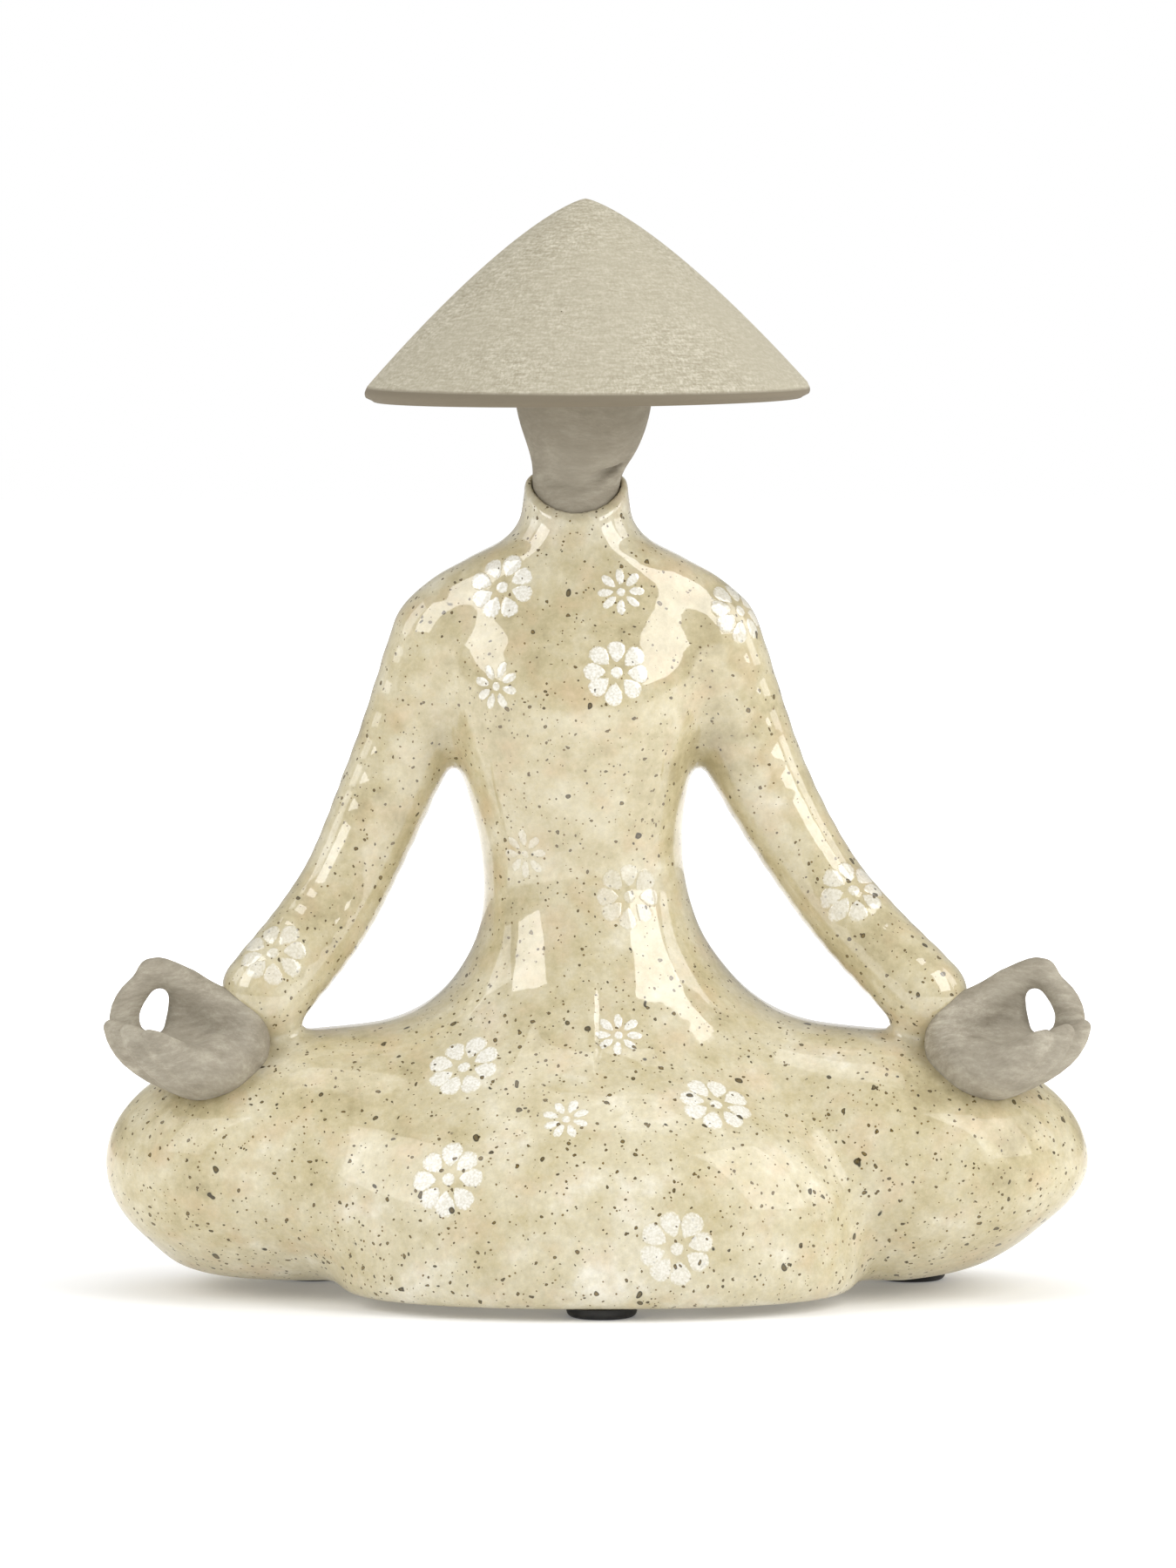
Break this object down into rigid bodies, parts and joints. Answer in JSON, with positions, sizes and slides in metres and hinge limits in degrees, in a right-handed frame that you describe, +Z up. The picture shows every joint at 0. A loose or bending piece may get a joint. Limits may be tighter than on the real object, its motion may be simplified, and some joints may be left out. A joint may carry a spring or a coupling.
{
  "type": "seated meditating figure ornament",
  "caption": "Cross-legged meditating figure in a wide conical hat: hollow glazed robe with bare clay head, hat and hands, standing on rubber pads.",
  "frame": {"origin": "on the floor, under the middle of the outer box", "axes": "+Z up; the figure faces -Y; its own left hand is on the +X side"},
  "size_m": [0.2258, 0.1119, 0.251],
  "materials": {
    "glazed_robe": "glossy cream glaze with brown speckles and white flower marks",
    "bare_clay": "matt unglazed grey-brown clay",
    "hat_clay": "matt unglazed clay with a pale brushed grain",
    "rubber_pad": "matt black rubber"
  },
  "bodies": {
    "root": {"body": "glazed_robe", "left_sleeve": "glazed_robe", "right_sleeve": "glazed_robe", "left_hand": "bare_clay", "right_hand": "bare_clay", "head": "bare_clay", "hat": "hat_clay", "front_pad": "rubber_pad", "left_pad": "rubber_pad", "right_pad": "rubber_pad"}
  },
  "joints": []
}
